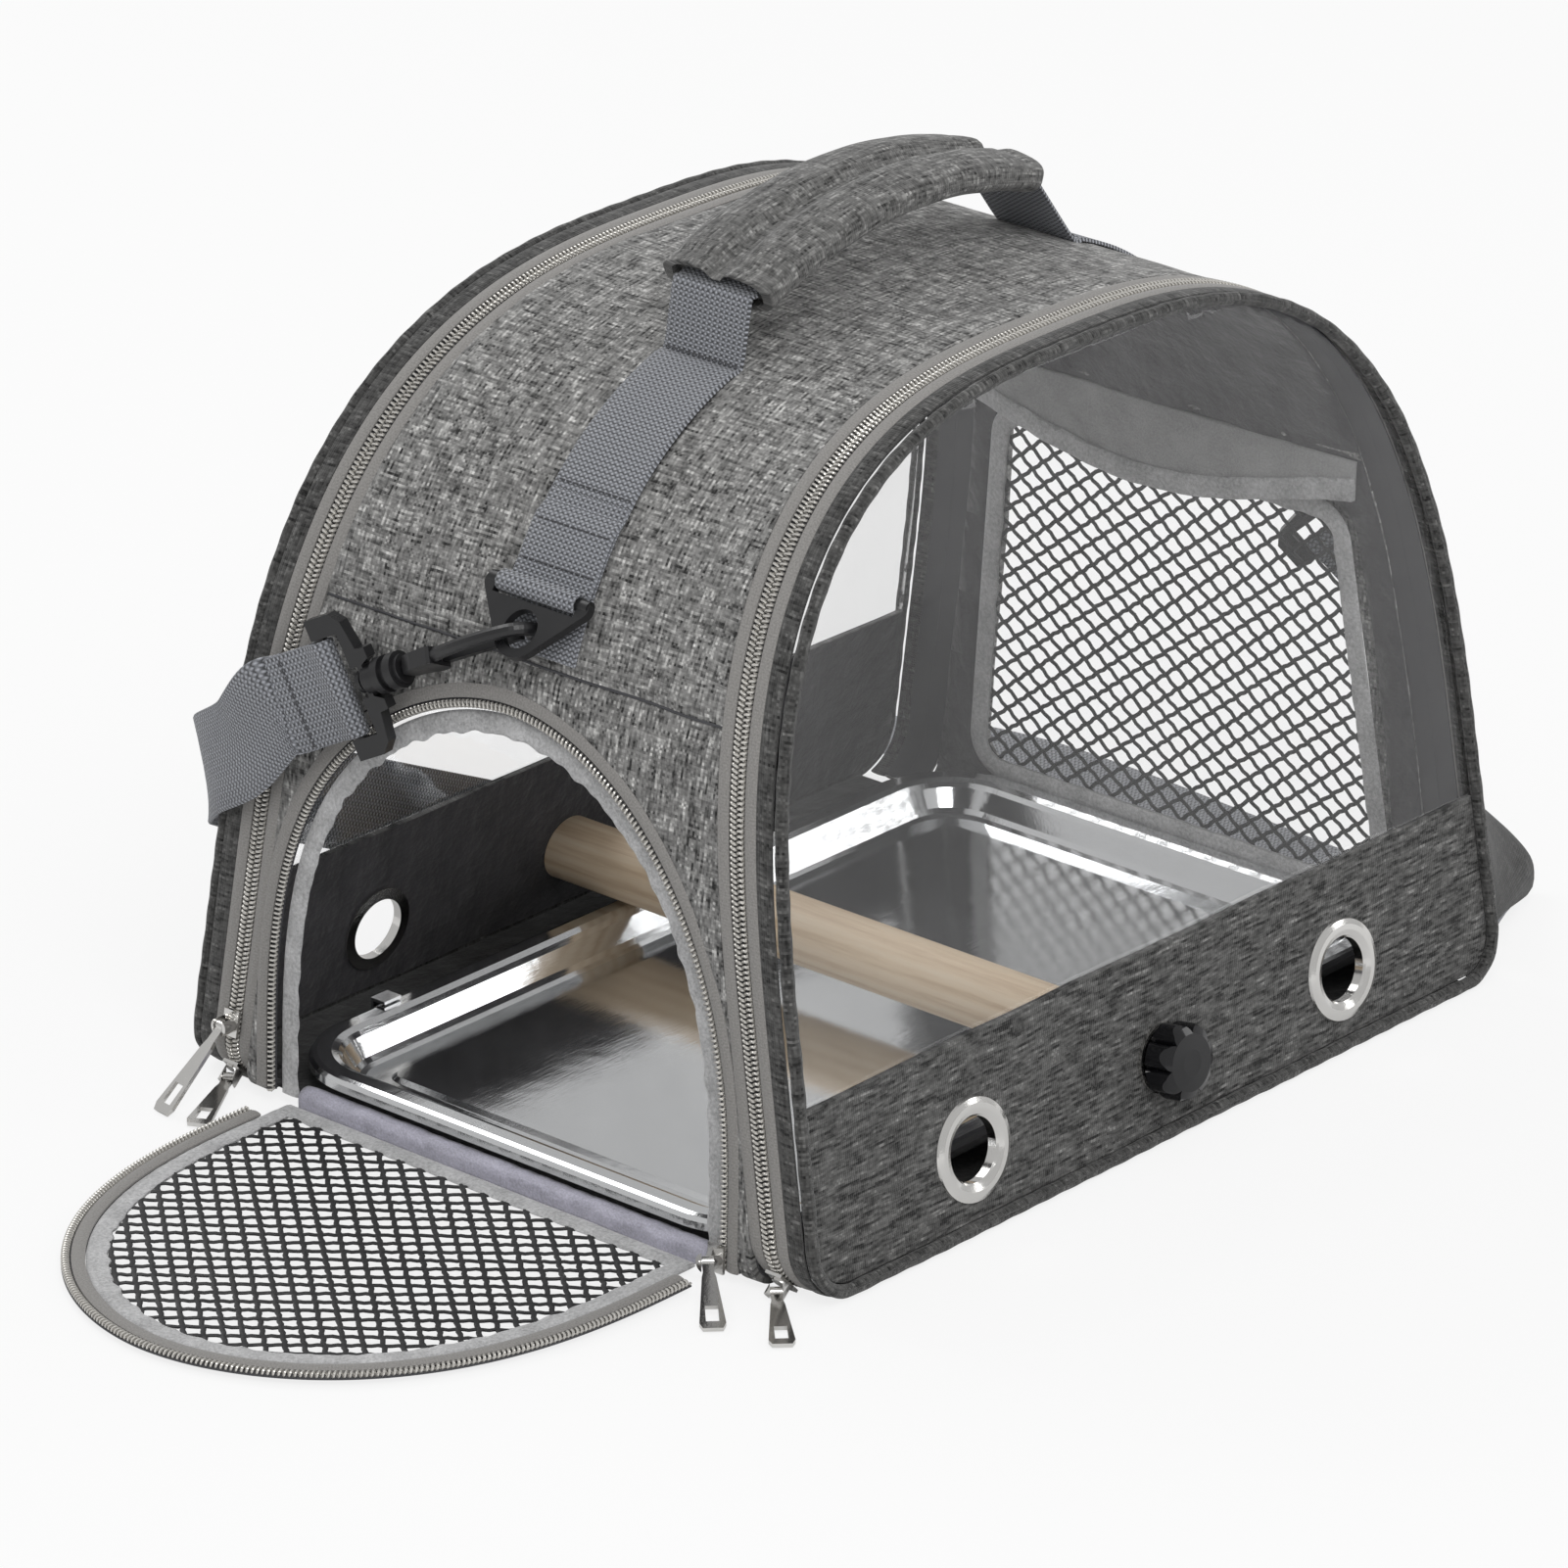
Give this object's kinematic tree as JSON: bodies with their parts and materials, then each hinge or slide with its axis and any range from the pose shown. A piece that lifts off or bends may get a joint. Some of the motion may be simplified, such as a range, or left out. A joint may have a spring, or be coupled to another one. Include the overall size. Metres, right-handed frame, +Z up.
{
  "type": "pet travel carrier",
  "caption": "Soft arched travel carrier for a bird with clear zipped panels, a mesh side door, a steel tray, a perch and a shoulder strap.",
  "frame": {"origin": "centre of the base, on the surface that the carrier stands on", "axes": "+X along the width of the arch and away from the mesh door, -Y towards the front window panel, +Z up"},
  "size_m": [0.6551, 0.3993, 0.3496],
  "materials": {
    "melange": "woven, heather grey",
    "band_cloth": "woven, charcoal with slubs",
    "lining_cloth": "thin charcoal polyester",
    "binding": "light grey fleece binding",
    "sill_cloth": "pale lavender binding",
    "zip": "coil teeth on taupe tape",
    "webbing": "woven blue-grey webbing",
    "mesh": "black net",
    "film": "clear flexible film",
    "nickel": "polished nickel",
    "tray_steel": "mirror steel",
    "beech": "pale beech",
    "brass": "turned",
    "black_plastic": "moulded",
    "knob_plastic": "glossy",
    "steel": "plated",
    "board": "covered floor board"
  },
  "bodies": {
    "cabin": {"floor_panel": "board", "door_side_wall": "melange", "far_side_wall": "melange", "roof_panel": "melange", "lining": "lining_cloth", "front_cabin_zip": "zip", "rear_cabin_zip": "zip", "door_wall_zip": "zip", "door_wall_binding": "binding", "door_sill": "sill_cloth", "far_mesh": "mesh", "far_mesh_binding": "binding", "far_flap": "binding", "perch": "beech", "perch_inserts": "brass", "tray": "tray_steel", "tray_clip": "steel", "handle_webbing": "webbing", "handle_grip": "melange", "left_loop": "black_plastic", "left_bracket": "black_plastic", "right_loop": "black_plastic", "right_bracket": "black_plastic", "shoulder_strap": "webbing", "shoulder_pad": "band_cloth"},
    "front_panel": {"front_panel_zip": "zip", "front_piping": "band_cloth", "front_band": "band_cloth", "front_window": "film", "front_eyelets": "nickel", "front_washer": "nickel"},
    "rear_panel": {"rear_panel_zip": "zip", "rear_piping": "band_cloth", "rear_band": "band_cloth", "rear_window": "film", "rear_eyelets": "nickel", "rear_washer": "nickel"},
    "front_knob": {"front_knob": "knob_plastic", "front_screw": "steel"},
    "rear_knob": {"rear_knob": "knob_plastic", "rear_screw": "steel"},
    "mesh_door": {"door_mesh": "mesh", "door_binding": "binding", "door_zip": "zip"},
    "front_slider": {"front_slider": "nickel"},
    "front_pull": {"front_pull": "nickel"},
    "rear_slider_upper": {"rear_slider_upper": "nickel"},
    "rear_pull_upper": {"rear_pull_upper": "nickel"},
    "rear_slider_lower": {"rear_slider_lower": "nickel"},
    "rear_pull_lower": {"rear_pull_lower": "nickel"},
    "door_slider": {"door_slider": "nickel"},
    "door_pull": {"door_pull": "nickel"},
    "left_hook": {"left_hook": "black_plastic"},
    "left_gate": {"left_gate": "black_plastic"},
    "right_hook": {"right_hook": "black_plastic"},
    "right_gate": {"right_gate": "black_plastic"}
  },
  "joints": [
    {"name": "front_panel_hinge", "type": "hinge", "parent": "cabin", "child": "front_panel", "pos_m": [0, -0.15915, 0.00064], "axis": [1, 0, 0], "range_deg": [0, 95]},
    {"name": "rear_panel_hinge", "type": "hinge", "parent": "cabin", "child": "rear_panel", "pos_m": [0, 0.15915, 0.00064], "axis": [-1, 0, 0], "range_deg": [0, 95], "deforming": ["shoulder_strap"]},
    {"name": "front_knob_spin", "type": "hinge", "parent": "front_panel", "child": "front_knob", "pos_m": [0, -0.16018, 0.03227], "axis": [0, -0.9885, 0.1513], "continuous": true},
    {"name": "rear_knob_spin", "type": "hinge", "parent": "rear_panel", "child": "rear_knob", "pos_m": [0, 0.16018, 0.03227], "axis": [0, 0.9885, 0.1513], "continuous": true},
    {"name": "mesh_door_hinge", "type": "hinge", "parent": "cabin", "child": "mesh_door", "pos_m": [-0.19893, 0, 0.0022], "axis": [0, 1, 0], "range_deg": [0, 91.86]},
    {"name": "front_slider_run", "type": "hinge", "parent": "cabin", "child": "front_slider", "pos_m": [-0.17935, -0.13474, 0.02], "axis": [0, -0.9885, 0.1513], "range_deg": [-25, 0]},
    {"name": "rear_slider_lower_run", "type": "hinge", "parent": "cabin", "child": "rear_slider_lower", "pos_m": [-0.17935, 0.13474, 0.02], "axis": [0, 0.9885, 0.1513], "range_deg": [0, 14]},
    {"name": "rear_slider_upper_run", "type": "slide", "parent": "cabin", "child": "rear_slider_upper", "axis": [0.0321, -0.1512, 0.988], "range_m": [0, 0.055]},
    {"name": "door_slider_run", "type": "slide", "parent": "cabin", "child": "door_slider", "axis": [0.0325, 0, 0.9995], "range_m": [0, 0.008]},
    {"name": "front_pull_hinge", "type": "hinge", "parent": "front_slider", "child": "front_pull", "pos_m": [-0.19852, -0.13743, 0.00244], "axis": [-0.7071, 0.7071, 0], "range_deg": [0, 50]},
    {"name": "rear_pull_upper_hinge", "type": "hinge", "parent": "rear_slider_upper", "child": "rear_pull_upper", "pos_m": [-0.20512, 0.13364, 0.0272], "axis": [0.1392, 0.9903, 0], "range_deg": [0, 100]},
    {"name": "rear_pull_lower_hinge", "type": "hinge", "parent": "rear_slider_lower", "child": "rear_pull_lower", "pos_m": [-0.19852, 0.13743, 0.00244], "axis": [-0.454, 0.891, 0], "range_deg": [0, 25]},
    {"name": "door_pull_hinge", "type": "hinge", "parent": "door_slider", "child": "door_pull", "pos_m": [-0.20572, -0.111, 0.00869], "axis": [-0.7071, 0.7071, 0], "range_deg": [0, 80]},
    {"name": "left_hook_swivel", "type": "hinge", "parent": "cabin", "child": "left_hook", "pos_m": [-0.19835, 0.05037, 0.19019], "axis": [-0.1369, 0.8844, -0.4462], "range_deg": [-10, 10]},
    {"name": "left_gate_hinge", "type": "hinge", "parent": "left_hook", "child": "left_gate", "pos_m": [-0.19143, 0.03075, 0.19848], "axis": [0.3396, 0.465, 0.8176], "range_deg": [-4, 0], "stiffness_Nm_per_rad": 0.02},
    {"name": "right_hook_swivel", "type": "hinge", "parent": "cabin", "child": "right_hook", "pos_m": [0.21528, -0.04373, 0.1706], "axis": [0.3933, -0.5413, -0.7431], "range_deg": [-10, 10]},
    {"name": "right_gate_hinge", "type": "hinge", "parent": "right_hook", "child": "right_gate", "pos_m": [0.20303, -0.03147, 0.18479], "axis": [-0.339, -0.8367, 0.4301], "range_deg": [-4, 0], "stiffness_Nm_per_rad": 0.02}
  ]
}
